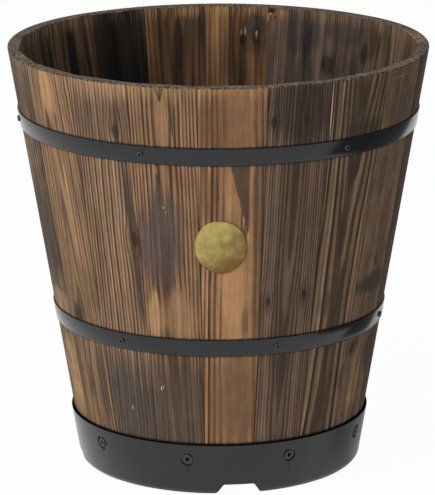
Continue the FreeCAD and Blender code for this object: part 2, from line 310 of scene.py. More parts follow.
base_ring.modifiers["Boolean"].operation = "DIFFERENCE"
bpy.ops.object.modifier_apply(modifier="Boolean")
bpy.data.objects.remove(cutters[0])

# Dirt lies in a drip under each screw; painted shade darkens the top edge and the foot.
DRIP_FOOT, DRIP_HEAD = (0.024, 0.034), (0.037, 0.039)
PAINTED_SHADE_EDGE, PAINTED_SHADE_FOOT = (0.0630, 0.0642), (0.0018, 0.0036)

moulded = Finish("satin_black_moulding")
speckle = moulded.noise(moulded.place, 1400, 1, 2)
cloud = moulded.noise(moulded.place, 18, 2, 3)
side, front, level = moulded.split(moulded.place)
half_pitch = math.radians(BASE_SCREW_PITCH / 2)
about = side.math("ARCTAN2", front * -1) - BASE_SCREW_TURNS[0] + (2 * math.pi + half_pitch)
beside = (about.math("MODULO", 2 * half_pitch) - half_pitch).math("ABSOLUTE") * foot_outer * 1000
drip = 1 - (beside + speckle * 0.6).step(0.5, 1.4)
drip = drip * level.step(*DRIP_FOOT) * (1 - level.step(*DRIP_HEAD))
# painted shade along the top edge and round the foot, laid on with the same dark finish as the drips of
# dirt
edge = level.step(*PAINTED_SHADE_EDGE)
foot = 1 - level.step(*PAINTED_SHADE_FOOT)
moulded.feed(
    Base_Color=moulded.blend(cloud, colour(18, 18, 20), colour(27, 27, 28)),
    Roughness=0.17 + 0.08 * cloud,
)
moulded.bump(speckle, 0.12, 0.0003)
dirt_and_shade = moulded.node("ShaderNodeBsdfDiffuse", {}, {"Color": colour(10, 10, 11)})
moulded.cover((drip * 0.5).math("MAXIMUM", edge).math("MAXIMUM", foot * 0.85), dirt_and_shade)
finish_piece(base_ring, moulded.material, "moulded_plastic", "base_ring")

# Staves: nineteen boards of softwood, rounded outside and flat inside, bevelled to each other along
# both edges, burnt and then brushed so that the hard late wood stands up dark between paler early
# wood. Each is its own board, with its own rings, knots and scorch marks, and the hoops hold them.

STAVE_COUNT, STAVE_THICKNESS, STAVE_ARRIS, RIM_ARRIS = 19, 0.015, 0.0007, 0.0012
HALF_STAVE = math.pi / STAVE_COUNT
WALL_DEPTH = STAVE_THICKNESS / math.cos(LEAN)
FIRST_STAVE_TURN = 3.8
HOOP_WIDTH, UPPER_HOOP_HEIGHT, LOWER_HOOP_HEIGHT = 0.020, 0.423, 0.1878

CHAR, SOOT_AND_SHADE, KNOT = (72, 61, 54), (34, 28, 24), (50, 40, 34)
PALE, FLECK, RESIN = (180, 142, 100), (204, 184, 158), (250, 232, 205)
END, END_LINE, END_PIT, END_EDGE = (108, 94, 81), (52, 44, 38), (40, 34, 30), (44, 39, 36)
END_FLAKE, TORN, TORN_DARK = (186, 164, 140), (212, 166, 124), (62, 46, 36)

# The boards go round from the front towards the right. Lengths are in mm, across and up the board.
# pith: where the heart of the tree lies, across and behind the face, at heart_height. From there it
#   sinks by dip, curves by bow and strays by drift. ring is the width of a year, phase its start.
# line, grain, mottle: how strongly the rings, the grain and the blotches show. plain is a stretch
#   with few lines, by its middle and half width.
# rim, rim_start: how pale the wood is under the rim, and from where. inside: how dark the inner
#   face is, with soot and painted shade. worn: how far its upper edge is rubbed bare.
# end, flakes, chips: colour of the end grain, and how much of it is flaked or torn. taller: how far
#   the board stands up.
# knots: (across, height, radius). marks: (shade, across, height, half width, half height, share).
# wedges: (shade, tip across, tip height, left, right, end height, share).
boards = [
    dict(light=(172, 129, 91), dark=(66, 45, 32), pith=(9, 25), ring=5, phase=0.35, grain=0.8,
         plain=(8, 19), rim=0.3, inside=0.7,
         marks=[((182, 138, 98), 3, 250, 15, 66, 0.8), ((124, 94, 68), 8, 118, 30, 66, 0.7),
                (CHAR, 16, 222, 4, 22, 0.5), ((96, 74, 56), 0, 120, 60, 60, 0.3),
                ((84, 62, 45), -22, 458, 24, 44, 0.55), ((98, 73, 53), 0, 458, 60, 46, 0.45),
                ((134, 98, 70), 6, 468, 18, 46, 0.6), ((88, 66, 49), -25, 375, 14, 40, 0.45),
                (CHAR, 32, 372, 9, 70, 0.55), ((104, 79, 58), 34, 250, 9, 70, 0.6),
                ((64, 54, 53), 15, 352, 5, 30, 0.7), ((196, 148, 108), 13.5, 348, 1.0, 12, 0.8),
                ((196, 148, 108), 18.5, 326, 0.9, 10, 0.8)],
         wedges=[((84, 66, 54), 19.5, 326, -4, 20.5, 420, 0.92)]),
    dict(light=(126, 102, 84), dark=(74, 58, 47), pith=(-3, 17), heart_height=85, dip=-0.009, ring=2.9,
         inside=0.7,
         knots=[(-33, 462, 4), (6, 464, 3), (-25, 244, 3.5), (20, 248, 3.5)],
         marks=[((48, 41, 35), 5, 475, 60, 42, 0.62), ((48, 42, 37), 22, 470, 22, 45, 0.3),
                (CHAR, 20, 250, 8, 20, 0.6), (CHAR, -25, 244, 8, 16, 0.6),
                ((214, 174, 150), 37.9, 472, 1.1, 40, 1.0)],
         wedges=[((64, 54, 47), -3, 84, -10, 5, 172, 0.85)]),
    dict(light=(146, 119, 94), dark=(58, 45, 34), pith=(-1, 30), heart_height=190, bow=-0.00017,
         drift=0.02, ring=6, phase=0.85, inside=0.7,
         marks=[((56, 46, 36), 20, 440, 36, 14, 0.7), ((70, 58, 48), 4, 470, 50, 40, 0.4),
                ((54, 44, 36), -3, 325, 5, 34, 0.6), (CHAR, -17, 232, 7, 16, 0.6),
                (CHAR, 27, 130, 5, 18, 0.6)],
         wedges=[((72, 57, 45), -3, 215, -15, 13, 505, 0.75),
                 ((70, 56, 45), -5, 186, -16, 6, 60, 0.6)]),
    dict(light=(132, 105, 83), dark=(84, 66, 51), pith=(-120, 12), ring=6.5, line=0.4, grain=0.6,
         mottle=1.2, inside=0.65,
         knots=[(-22, 163, 4)],
         marks=[((62, 57, 50), 5, 240, 46, 13, 0.85), ((58, 51, 45), 28, 150, 20, 30, 0.85),
                (CHAR, -22, 163, 14, 12, 0.7), ((56, 48, 42), 8, 72, 5, 6, 0.7),
                ((58, 47, 38), 3, 268, 4, 8, 0.7), (PALE, -10, 493, 14, 1.0, 0.6),
                ((156, 104, 72), 6, 491, 3, 2.5, 0.7), (PALE, -10, 112, 6, 44, 0.5),
                (PALE, 3, 118, 4, 44, 0.45), ((84, 67, 53), 0, 465, 60, 40, 0.5)]),
    dict(light=(106, 86, 69), dark=(64, 50, 40), pith=(40, 25), dip=0.02, ring=5, mottle=1.0,
         inside=0.6, end=(86, 79, 72),
         marks=[(CHAR, 10, 330, 30, 70, 0.5)]),
    dict(light=(140, 110, 84), dark=(72, 56, 43), pith=(-90, 5), ring=4.6, inside=0.55,
         end=(128, 102, 76), chips=0.75, taller=0.5,
         marks=[(CHAR, 0, 420, 40, 60, 0.4)]),
    dict(light=(150, 121, 96), dark=(84, 66, 52), pith=(5, 26), heart_height=300, dip=0.03, ring=4.4,
         inside=0.5, flakes=0.2, taller=0.6,
         knots=[(12, 210, 6)],
         marks=[(SOOT_AND_SHADE, 30, 480, 16, 26, 0.7), (CHAR, -10, 150, 30, 60, 0.5)]),
    dict(light=(136, 111, 95), dark=(84, 68, 59), pith=(70, 8), ring=3.6, inside=0.5, flakes=0.1,
         taller=-0.2,
         knots=[(-30, 462, 7)],
         marks=[(CHAR, 0, 482, 50, 14, 0.5), (SOOT_AND_SHADE, 28, 440, 12, 12, 0.7),
                # the pale grey mark high up, at 27 across, is a painted sheen
                ((128, 112, 104), 27, 463, 11, 12, 0.35)]),
    dict(light=(140, 112, 93), dark=(86, 69, 58), pith=(-80, 15), ring=3.2, inside=0.5, flakes=0.1,
         taller=-0.2,
         marks=[((74, 66, 66), -12, 476, 30, 24, 0.7), ((160, 104, 58), 24, 495, 8, 8, 0.9),
                (SOOT_AND_SHADE, 33, 500, 6, 4, 0.95), (FLECK, 38, 491, 1.2, 5, 0.9),
                (FLECK, 35, 496, 2.5, 1.4, 0.9), (PALE, 20, 499, 3, 3, 0.7),
                (SOOT_AND_SHADE, 28, 492, 3, 3, 0.7)]),
    dict(light=(168, 122, 80), dark=(58, 39, 26), pith=(-60, 4), ring=6, inside=0.34, worn=0.5,
         flakes=0.1,
         knots=[(-24, 463, 5), (-8, 463, 4)],
         marks=[(CHAR, -22, 482, 14, 16, 0.8), (SOOT_AND_SHADE, 7, 450, 4, 80, 0.7),
                (SOOT_AND_SHADE, -20, 462, 16, 16, 0.4), (RESIN, -6, 472, 1.1, 4, 0.9),
                (RESIN, -11, 474, 0.9, 5, 0.8), (RESIN, -25, 469, 1.2, 5, 0.95)]),
    dict(light=(146, 108, 76), dark=(56, 39, 27), pith=(0, 20), heart_height=440, dip=-0.02, ring=4.2,
         inside=0.44, worn=0.6, flakes=0.1,
         marks=[(SOOT_AND_SHADE, -2, 460, 7, 34, 0.8), (CHAR, -28, 478, 16, 26, 0.5)]),
    dict(light=(118, 94, 72), dark=(58, 45, 35), pith=(90, 10), ring=4.4, inside=0.58, flakes=0.1,
         marks=[(CHAR, 0, 250, 40, 80, 0.5), ((40, 37, 34), 0, 450, 40, 90, 0.9)]),
    dict(light=(160, 124, 92), dark=(74, 55, 40), pith=(-10, 24), dip=0.02, ring=5.2, inside=0.58,
         worn=0.5, flakes=0.2, taller=0.8,
         marks=[(SOOT_AND_SHADE, 2, 460, 10, 50, 0.9)]),
    dict(light=(138, 110, 84), dark=(66, 50, 37), pith=(-70, 8), ring=4.6, inside=0.58, worn=0.5,
         flakes=0.3, taller=1.2,
         knots=[(15, 330, 6)]),
    dict(light=(146, 116, 88), dark=(78, 60, 45), pith=(10, 30), dip=0.03, ring=6, inside=0.65,
         worn=0.5, taller=0.8,
         marks=[(CHAR, 5, 200, 34, 60, 0.5)]),
    dict(light=(122, 99, 78), dark=(66, 52, 40), pith=(-30, 40), dip=0.04, ring=6.5, grain=0.7,
         mottle=2.0, rim=0.15, inside=0.7,
         marks=[((68, 58, 51), -5, 300, 60, 66, 0.9), ((60, 51, 44), -32, 465, 30, 54, 0.9),
                ((168, 136, 106), 8, 210, 36, 16, 0.5), ((84, 70, 58), 4, 462, 60, 36, 0.5),
                ((84, 64, 48), 3, 300, 3, 6, 0.6), ((78, 58, 42), 2, 452, 5, 12, 0.5),
                (PALE, 8, 118, 34, 56, 0.55), ((90, 70, 52), -13, 112, 3, 50, 0.6)]),
    dict(light=(148, 115, 86), dark=(80, 61, 45), pith=(-5, 14), heart_height=400, dip=0.03, ring=4.6,
         rim=0.1, inside=0.7,
         knots=[(-10, 205, 9)],
         marks=[((178, 138, 96), -2, 478, 12, 34, 0.7), ((92, 69, 55), -8, 350, 6, 60, 0.5),
                (PALE, 9, 320, 4, 90, 0.35), ((76, 65, 56), -4, 218, 5, 16, 0.7),
                ((72, 62, 54), -5, 118, 4, 26, 0.8), (CHAR, 18, 120, 8, 60, 0.8),
                (CHAR, 20, 350, 3, 40, 0.45), ((80, 64, 52), 0, 120, 60, 70, 0.25),
                (CHAR, -26, 120, 6, 60, 0.6), (PALE, -14, 110, 4, 60, 0.2), (PALE, 6, 128, 4, 50, 0.2),
                ((100, 80, 62), 0, 235, 60, 50, 0.45)],
         wedges=[((74, 60, 50), -9, 459, -15, -2, 430, 0.9)]),
    dict(light=(158, 125, 97), dark=(64, 48, 36), pith=(110, 4), drift=0.02, ring=4.5, rim=0.36,
         rim_start=478, inside=0.7,
         knots=[(20, 447, 5), (30, 317, 5)],
         marks=[((62, 49, 41), 29, 320, 6, 130, 0.85), ((72, 64, 59), 5, 105, 60, 72, 0.88),
                ((84, 66, 53), 0, 458, 60, 30, 0.55), ((66, 54, 46), 21, 462, 6, 34, 0.65),
                (FLECK, 1, 103, 0.6, 3, 0.8)]),
    dict(light=(156, 120, 88), dark=(70, 51, 36), pith=(-2, 22), heart_height=350, dip=-0.006, ring=3.5,
         rim=0.35, rim_start=484, inside=0.7,
         marks=[((84, 70, 66), -11, 322, 25, 64, 0.9), ((80, 66, 57), -5, 110, 60, 80, 0.85),
                (PALE, -20, 224, 10, 32, 0.6), ("light", 8, 224, 22, 36, 0.7),
                ((142, 106, 76), 0, 462, 8, 40, 0.5), ((70, 54, 44), 10, 466, 2.4, 24, 0.7),
                (FLECK, -19, 133, 0.8, 2.5, 0.9), (FLECK, -16.5, 135, 0.6, 1.5, 0.8),
                (FLECK, -4, 360, 0.8, 2, 0.7), (FLECK, -2, 354, 0.6, 1.2, 0.7),
                (PALE, -10, 405, 0.8, 5, 0.6)],
         wedges=[((56, 44, 36), -2, 485, -11, 6, 509, 0.95)]),
]


def burnt_wood(name, turn, board, seed):
    """The finish of one stave, from its heart and its marks. Across, deep and up are in mm of the board."""
    wood = Finish(name, Specular_IOR_Level=0.16)
    turned = wood.node("ShaderNodeVectorRotate", {"rotation_type": "Z_AXIS"},
                       {"Vector": wood.place, "Angle": -turn})
    x, y, z = wood.split(turned)
    across, up = x * 1000, z * 1000
    face = up * TAPER + wall_radius(0) * 1000
    deep = (y * 1000 + face) * math.cos(LEAN)
    top = RIM_HEIGHT * 1000

    def drawn_out(fine, fine_up, shift, detail, rough=0.5):
        """Noise that is drawn out along the board."""
        drawn = wood.vector(across * fine, deep * fine, up * fine_up)
        return wood.noise(drawn, 1, seed + shift, detail, rough)

    slow = drawn_out(0.02, 0.004, 0, 2)
    cloud = drawn_out(0.035, 0.013, 7, 3)
    streak = drawn_out(0.14, 0.007, 3, 3)
    grain = drawn_out(0.5, 0.009, 5, 3, 0.6)
    fibre = drawn_out(1.3, 0.04, 11, 3, 0.6)
    blotch = drawn_out(0.08, 0.045, 9, 4, 0.6)
    band = drawn_out(0.07, 0.006, 15, 2)

    # knots push the grain aside
    bent = across
    cores = None
    for knot_across, knot_up, radius in board.get("knots", []):
        reach = ((across - knot_across) / radius) ** 2 + ((up - knot_up) / (radius * 1.9)) ** 2
        push = (reach * -0.2).math("EXPONENT")
        bent = bent - (across - knot_across) * push * 0.75
        core = 1 - (reach + (grain - 0.5) * 2.4 + (cloud - 0.5) * 1.5).step(0.25, 1.5)
        cores = core if cores is None else cores.math("MAXIMUM", core)

    # rings about the heart, with a dark late wood and a pale early wood in each year
    height = up - board.get("heart_height", 250)
    heart_across, heart_deep = board["pith"]
    sink = deep + heart_deep + height * board.get("dip", 0) + height * height * board.get("bow", 0)
    radius = ((bent - heart_across - height * board.get("drift", 0)) ** 2 + sink ** 2).math("SQRT")
    years = radius / board["ring"] + (slow - 0.5) * 1.8 + board.get("phase", 0) + (streak - 0.5) * 0.5
    season = years.math("FRACT")
    chance = wood.node("ShaderNodeTexWhiteNoise", {"noise_dimensions": "1D"},
                       {"W": years.math("FLOOR") + seed * 17})
    within = (deep + streak * 2).step(6, 10)
    plain = 1.0
    if "plain" in board:
        plain_across, plain_half = board["plain"]
        plain = 0.2 + 0.8 * ((across - plain_across) / plain_half).math("ABSOLUTE").step(0.6, 1.1)
    line = board.get("line", 1)
    late = season.step(0.36, 0.6) * (1 - season.step(0.86, 1.0)) * (0.55 + 0.45 * chance) * line
    late = late * (0.45 + 1.15 * streak) * (1 - within * 0.4) * plain
    early = (1 - season.step(0.0, 0.3)) * line

    light, dark = colour(*board["light"]), colour(*board["dark"])
    dull = colour(*(c * 0.78 for c in board["light"]))
    tint = wood.blend((cloud * 1.2 + chance * 0.6 - 0.4).step(0.0, 1.0), light, dull)
    tint = wood.blend(late, tint, dark)

    # what the fire and the brush left, and one painted sheen: marks, wedges, knots and a pale rim
    for shade, mark_across, mark_up, wide, tall, share in board.get("marks", []):
        reach = ((across - mark_across) / wide) ** 2 + ((up - mark_up) / tall) ** 2
        ragged = reach + (streak - 0.5) * 2.2 + (grain - 0.5) * 1.6 + (cloud - 0.5) * 1.2
        mark = 1 - ragged.step(0.2, 1.5)
        tint = wood.blend(mark * share, tint, light if shade == "light" else colour(*shade))
    for shade, tip_across, tip_up, left, right, end, share in board.get("wedges", []):
        along = (up - tip_up) / (end - tip_up)
        from_left = across - along * (left - tip_across) - tip_across
        from_left = from_left + (grain - 0.5) * 9 + (fibre - 0.5) * 5
        from_right = along * (right - tip_across) + tip_across - across + (grain - 0.5) * 3
        inside = from_left.step(-0.5, 0.9) * from_right.step(-0.5, 0.9) * along.step(-0.03, 0.03)
        tint = wood.blend(inside * (1 - along.step(0.97, 1.05)) * share, tint, colour(*shade))
    if cores is not None:
        tint = wood.blend(cores * 0.85, tint, colour(*KNOT))
    rim = (up + (streak - 0.5) * 40 + (grain - 0.5) * 20).step(board.get("rim_start", top - 15), top + 1)
    tint = wood.blend(rim * board.get("rim", 0.0), tint, colour(*PALE))
    lines = (grain - 0.5) * (1.6 * board.get("grain", 1)) * plain + (fibre - 0.5) * 1.1 + early * 0.12
    lively = 1 + lines * (1 - within * 0.5) + (blotch - 0.5) * board.get("mottle", 0.6)
    tint = wood.blend(1.0, tint, lively, "MULTIPLY")

    # dirt in the joints, painted shade by the hoops and the base ring, and soot and painted shade inside
    dirt_and_shade = (1 - (face * math.sin(HALF_STAVE) - across.math("ABSOLUTE")).step(0.2, 1.3)) * 0.6
    # painted shade: the wood is darker in a thin line along both edges of each hoop and above the skirt
    for hoop_height in (UPPER_HOOP_HEIGHT, LOWER_HOOP_HEIGHT):
        past_hoop = (up - hoop_height * 1000).math("ABSOLUTE") - HOOP_WIDTH * 500
        near_hoop = 1 - (past_hoop + (grain - 0.5) * 4).step(0.3, 2.6)
        dirt_and_shade = dirt_and_shade.math("MAXIMUM", near_hoop * (1 - within) * 0.85)
    past_skirt = up - SKIRT_HEIGHT * 1000
    near_skirt = 1 - (past_skirt + (grain - 0.5) * 4).step(0.3, 2.8)
    dirt_and_shade = dirt_and_shade.math("MAXIMUM", near_skirt * (1 - within) * 0.85)
    tint = wood.blend(dirt_and_shade, tint, colour(*SOOT_AND_SHADE))
    # the inner face is dark with soot, and painted shade makes it darker further down
    soot_and_depth_shade = board["inside"] + (1 - up.step(top - 75, top - 5)) * 0.14 - (band - 0.5) * 1.5
    soot_and_depth_shade = soot_and_depth_shade.math("MAXIMUM", 0.0).math("MINIMUM", 0.9)
    tint = wood.blend(1.0, tint, 1 - within * soot_and_depth_shade, "MULTIPLY")
    worn = within * (up + (grain - 0.5) * 40).step(top - 15, top - 2) * grain.step(0.46, 0.6)
    tint = wood.blend(worn * board.get("worn", 0.2), tint, colour(*PALE))

    # the sawn end at the rim, with its flakes, pits and torn chips
    end_grain = wood.noise(wood.vector(across * 0.2, deep * 0.3, 0), 1, seed + 13, 5, 0.75)
    flake = wood.noise(wood.vector(across * 0.32, deep * 0.2, 0), 1, seed + 21, 3, 0.65)
    flakes, chips = board.get("flakes", 0.4), board.get("chips", 0)
    sawn = wood.blend(late, colour(*board.get("end", END)), colour(*END_LINE))
    sawn = wood.blend(1.0, sawn, 1 + (end_grain - 0.5) * 3.0 + (blotch - 0.5) * 1.6, "MULTIPLY")
    sawn = wood.blend(flake.step(0.52, 0.6) * flakes, sawn, colour(*END_FLAKE))
    sawn = wood.blend((1 - flake.step(0.38, 0.46)) * 0.6, sawn, colour(*END_PIT))
    sawn = wood.blend((1 - (deep + flake * 6).step(3.0, 6.0)) * 0.6, sawn, colour(*END_EDGE))
    sawn = wood.blend(end_grain.step(0.54, 0.6) * chips, sawn, colour(*TORN))
    sawn = wood.blend((1 - end_grain.step(0.38, 0.44)) * chips, sawn, colour(*TORN_DARK))
    tint = wood.blend((up + (grain - 0.5) * 3).step(top - 1.8, top - 0.7), tint, sawn)

    wood.feed(Base_Color=tint, Roughness=0.6 + 0.25 * fibre)
    wood.bump(late * 0.7 + grain * 0.6 + fibre * 0.5, 0.6, 0.0007)
    return wood.material


def model_stave():
    """One stave, facing the front: its side view, spun through its share of the ring and planed inside."""
    bpy.ops.object.select_all(action="DESELECT")
    bpy.ops.mesh.primitive_plane_add(size=1, location=(0, 0, 0), rotation=(0, math.pi / 2, 0))
    board = start_piece("stave_model")
    bpy.ops.object.mode_set(mode="EDIT")
    flats = {}
    for height, level in ((SEAT_HEIGHT, -0.5), (RIM_HEIGHT, 0.5)):
        flats[height] = wall_radius(height) - WALL_DEPTH
        for radius, side in ((wall_radius(height), -0.5), (flats[height] / math.cos(HALF_STAVE), 0.5)):
            pick(board, lambda co: abs(co.y - side) < HAIR and abs(co.z - level) < HAIR)
            bpy.ops.transform.translate(value=Vector((0, -radius, height)) - Vector((0, side, level)))
    bpy.ops.mesh.select_all(action="SELECT")
    bpy.ops.transform.rotate(value=-HALF_STAVE, orient_axis="Z", center_override=(0, 0, 0))
    bpy.context.tool_settings.mesh_select_mode = (False, False, True)
    bpy.ops.mesh.spin(steps=8, angle=2 * HALF_STAVE, center=(0, 0, 0), axis=(0, 0, 1))
    for height, flat in flats.items():
        pick(board, lambda co: abs(co.z - height) < HAIR
             and co.xy.length < wall_radius(height) - WALL_DEPTH / 2)
        bpy.ops.transform.resize(value=(1, 0, 1), center_override=(0, -flat, height))
    bpy.ops.mesh.select_all(action="SELECT")
    bpy.ops.mesh.normals_make_consistent(inside=False)
    half_width = math.sin(HALF_STAVE)
    pick(board, lambda co: co.xy.length > wall_radius(co.z) - HAIR
         and abs(co.x) > co.xy.length * half_width - HAIR, "EDGE")
    bpy.ops.mesh.bevel(offset=STAVE_ARRIS, segments=2, affect="EDGES")
    pick(board, lambda co: co.z > RIM_HEIGHT - HAIR, "EDGE")
    bpy.ops.mesh.bevel(offset=RIM_ARRIS, segments=3, affect="EDGES")
    bpy.ops.object.mode_set(mode="OBJECT")
    return board


stave_model = model_stave()
for index, board in enumerate(boards):
    name = f"stave_{index + 1:02d}"
    turn = math.radians(FIRST_STAVE_TURN) + index * 2 * HALF_STAVE
    stave = stave_model.copy()
    stave.data = stave_model.data.copy()
    stave.name = stave.data.name = f"{name}_burnt"
    bpy.context.collection.objects.link(stave)
    for corner in stave.data.vertices:
        if corner.co.z > RIM_HEIGHT / 2:
            neighbour = boards[(index + (1 if corner.co.x > 0 else -1)) % STAVE_COUNT]
            to_joint = abs(corner.co.x) / (RIM_RADIUS * math.sin(HALF_STAVE))
            taller, next_taller = board.get("taller", 0), neighbour.get("taller", 0)
            corner.co.z += (taller + (next_taller - taller) / 2 * to_joint) / 1000
    stave.data.transform(Matrix.Rotation(turn, 4, "Z"))
    finish = burnt_wood(f"burnt_wood_{index + 1:02d}", turn, board, index * 2.7 + 1)
    finish_piece(stave, finish, "burnt_wood", name)
bpy.data.objects.remove(stave_model)

# Hoops: two strips of black painted steel, bent to the cone of the staves and driven down on them.
# The ends overlap at the back, where they are welded.

HOOP_THICKNESS, HOOP_CLEARANCE, HOOP_ARRIS = 0.0015, 0.0001, 0.0004
HOOP_LAP, UPPER_LAP_TURN, LOWER_LAP_TURN = 0.060, 188, 156.5

painted = Finish("satin_black_paint")
dust = painted.noise(painted.place, 60, 3, 4)
peel = painted.noise(painted.place, 700, 4, 2)
painted.feed(
    Base_Color=painted.blend(dust, colour(10, 12, 15), colour(21, 24, 27)),
    Roughness=0.12 + 0.1 * dust,
)
painted.bump(peel, 0.15, 0.0003)

for name, height, lap_turn in (
    ("upper_hoop", UPPER_HOOP_HEIGHT, UPPER_LAP_TURN),
    ("lower_hoop", LOWER_HOOP_HEIGHT, LOWER_LAP_TURN),
):
    bearing = wall_radius(height) + HOOP_CLEARANCE
    section = []
    for along, out in ((-1, 0), (1, 0), (1, 1), (-1, 1)):
        rise, thick = along * HOOP_WIDTH / 2, out * HOOP_THICKNESS
        section.append((bearing + rise * math.sin(LEAN) + thick * math.cos(LEAN),
                        height + rise * math.cos(LEAN) - thick * math.sin(LEAN)))
    hoop = turn_ring(f"{name}_strip", section)
    lap = HOOP_LAP / bearing
    lap_middle = math.radians(lap_turn) + lap / 2
    lap_side = Vector((math.sin(lap_middle), -math.cos(lap_middle)))
    pick(hoop, lambda co: co.xy.angle(lap_side) < lap / 2
         and (co.xy.length - bearing) * math.cos(LEAN) - (co.z - height) * math.sin(LEAN)
         > HOOP_THICKNESS / 2, "FACE")
    bpy.ops.mesh.extrude_region_shrink_fatten(TRANSFORM_OT_shrink_fatten={"value": HOOP_THICKNESS})
    bpy.ops.object.mode_set(mode="OBJECT")
    bpy.ops.object.modifier_add(type="BEVEL")
    hoop.modifiers["Bevel"].width = HOOP_ARRIS
    hoop.modifiers["Bevel"].segments = 2
    hoop.modifiers["Bevel"].limit_method = "ANGLE"
    bpy.ops.object.modifier_apply(modifier="Bevel")
    finish_piece(hoop, painted.material, "hoop_steel", name)

# Screws: round heads in black coated steel with a deep drive. Twelve hold the hoops to the staves, and
# nine wider ones sit in the recesses of the base ring.

HOOP_SCREW_RADIUS, BASE_SCREW_RADIUS = 0.0036, 0.0058
HEAD_HEIGHT = 0.0022
HEAD_ROUNDING = HEAD_HEIGHT * 0.55
DRIVE_SHARE, DRIVE_DEPTH, DRIVE_TAPER = 0.45, 0.0016, 0.75

coated = Finish("black_coated_steel", Metallic=0.6)
wear = coated.noise(coated.place, 900, 6, 3)
coated.feed(
    Base_Color=coated.blend(wear, colour(40, 40, 42), colour(86, 86, 88)),
    Roughness=0.3 + 0.2 * wear,
)
coated.bump(wear, 0.2, 0.0002)
# painted shade: the drive is lined with a near-black rough finish
drive = Finish("drive_painted_shade", Roughness=0.9, Specular_IOR_Level=0.1)
drive.feed(Base_Color=drive.blend(drive.noise(drive.place, 900, 8, 3), colour(8, 8, 9), colour(20, 20, 21)))


def model_screw(radius):
    """A head that lies on the ground: a rounded disc with its drive sunk into it."""
    bpy.ops.object.select_all(action="DESELECT")
    bpy.ops.mesh.primitive_cylinder_add(vertices=32, radius=radius, depth=HEAD_HEIGHT,
                                        location=(0, 0, HEAD_HEIGHT / 2))
    screw = start_piece("screw_model")
    screw.data.materials.append(coated.material)
    screw.data.materials.append(drive.material)
    bpy.ops.object.mode_set(mode="EDIT")
    pick(screw, lambda co: co.z > HEAD_HEIGHT - HAIR, "EDGE")
    bpy.ops.mesh.bevel(offset=HEAD_ROUNDING, segments=4, affect="EDGES")
    pick(screw, lambda co: co.z > HEAD_HEIGHT - HAIR, "FACE")
    bpy.ops.mesh.inset(thickness=radius - HEAD_ROUNDING - radius * DRIVE_SHARE)
    screw.active_material_index = 1
    bpy.ops.object.material_slot_assign()
    bpy.ops.mesh.extrude_region_move(TRANSFORM_OT_translate={"value": (0, 0, -DRIVE_DEPTH)})
    bpy.ops.transform.resize(value=(DRIVE_TAPER, DRIVE_TAPER, 1))
    bpy.ops.object.mode_set(mode="OBJECT")
    return screw


def seat_on_wall(head, turn, height, out):
    """Move a head that lies on the ground to its place, square to the wall."""
    aim = outward(turn).to_track_quat("Z", "Y").to_matrix().to_4x4()
    head.data.transform(Matrix.Translation(on_wall(turn, height, out)) @ aim)


hoop_seat = HOOP_CLEARANCE + HOOP_THICKNESS
rows = [
    ("upper_hoop_screws", HOOP_SCREW_RADIUS, UPPER_HOOP_HEIGHT, hoop_seat,
     [math.radians(-22 + 60 * index) for index in range(6)]),
    ("lower_hoop_screws", HOOP_SCREW_RADIUS, LOWER_HOOP_HEIGHT, hoop_seat,
     [math.radians(-34.8 + 54.6 * index) for index in range(6)]),
    ("base_screws", BASE_SCREW_RADIUS, BASE_SCREW_HEIGHT, recess_floor, BASE_SCREW_TURNS),
]
for node, radius, height, seat, turns in rows:
    screw_model = model_screw(radius)
    for number, turn in enumerate(turns, 1):
        screw = screw_model.copy()
        screw.data = screw_model.data.copy()
        screw.name = screw.data.name = f"{node[:-1]}_{number}_head"
        bpy.context.collection.objects.link(screw)
        seat_on_wall(screw, turn, height, seat)
        finish_piece(screw, coated.material, "screw_steel", node)
    bpy.data.objects.remove(screw_model)

# Plate: an oval of aged brass, pressed to a low dome, bent to the round of the staves and held to the
# front by two round pins.

PLATE_WIDTH, PLATE_TALL, PLATE_EDGE, PLATE_LEVEL = 0.060, 0.065, 0.0011, 0.314
PLATE_TURN = math.radians(0.5)
DOME_STEPS = ((0.0004, 0.0003), (0.0008, 0.00025), (0.0038, 0.0005),
              (0.005, 0.0004), (0.006, 0.0003), (0.007, 0.00015))
PIN_SPACING, PIN_RADIUS, PIN_HEAD, PIN_SEAT = 0.041, 0.0017, 0.0009, 0.0019

bpy.ops.object.select_all(action="DESELECT")
bpy.ops.mesh.primitive_cylinder_add(vertices=96, radius=PLATE_WIDTH / 2, depth=PLATE_EDGE,
                                    location=(0, 0, PLATE_EDGE / 2))
plate = start_piece("brass_plate_domed")
bpy.ops.object.mode_set(mode="EDIT")
bpy.ops.mesh.select_all(action="SELECT")
bpy.ops.transform.resize(value=(1, PLATE_TALL / PLATE_WIDTH, 1), center_override=(0, 0, 0))
pick(plate, lambda co: co.z > PLATE_EDGE - HAIR, "FACE")
for narrower, higher in DOME_STEPS:
    bpy.ops.mesh.inset(thickness=narrower)
    bpy.ops.transform.translate(value=(0, 0, higher))
bpy.ops.mesh.poke()
bpy.ops.object.mode_set(mode="OBJECT")
for corner in plate.data.vertices:
    turn = PLATE_TURN + corner.co.x / wall_radius(PLATE_LEVEL)
    corner.co = on_wall(turn, PLATE_LEVEL + corner.co.y * math.cos(LEAN), corner.co.z)

brass = Finish("aged_brass_and_painted_shade", Metallic=1.0)
side, _, level = brass.split(brass.place)
patina = brass.noise(brass.place, 90, 1, 4)
cast = brass.noise(brass.place, 420, 2, 3)
from_middle = side - PLATE_TURN * wall_radius(PLATE_LEVEL)
above_middle = level - PLATE_LEVEL
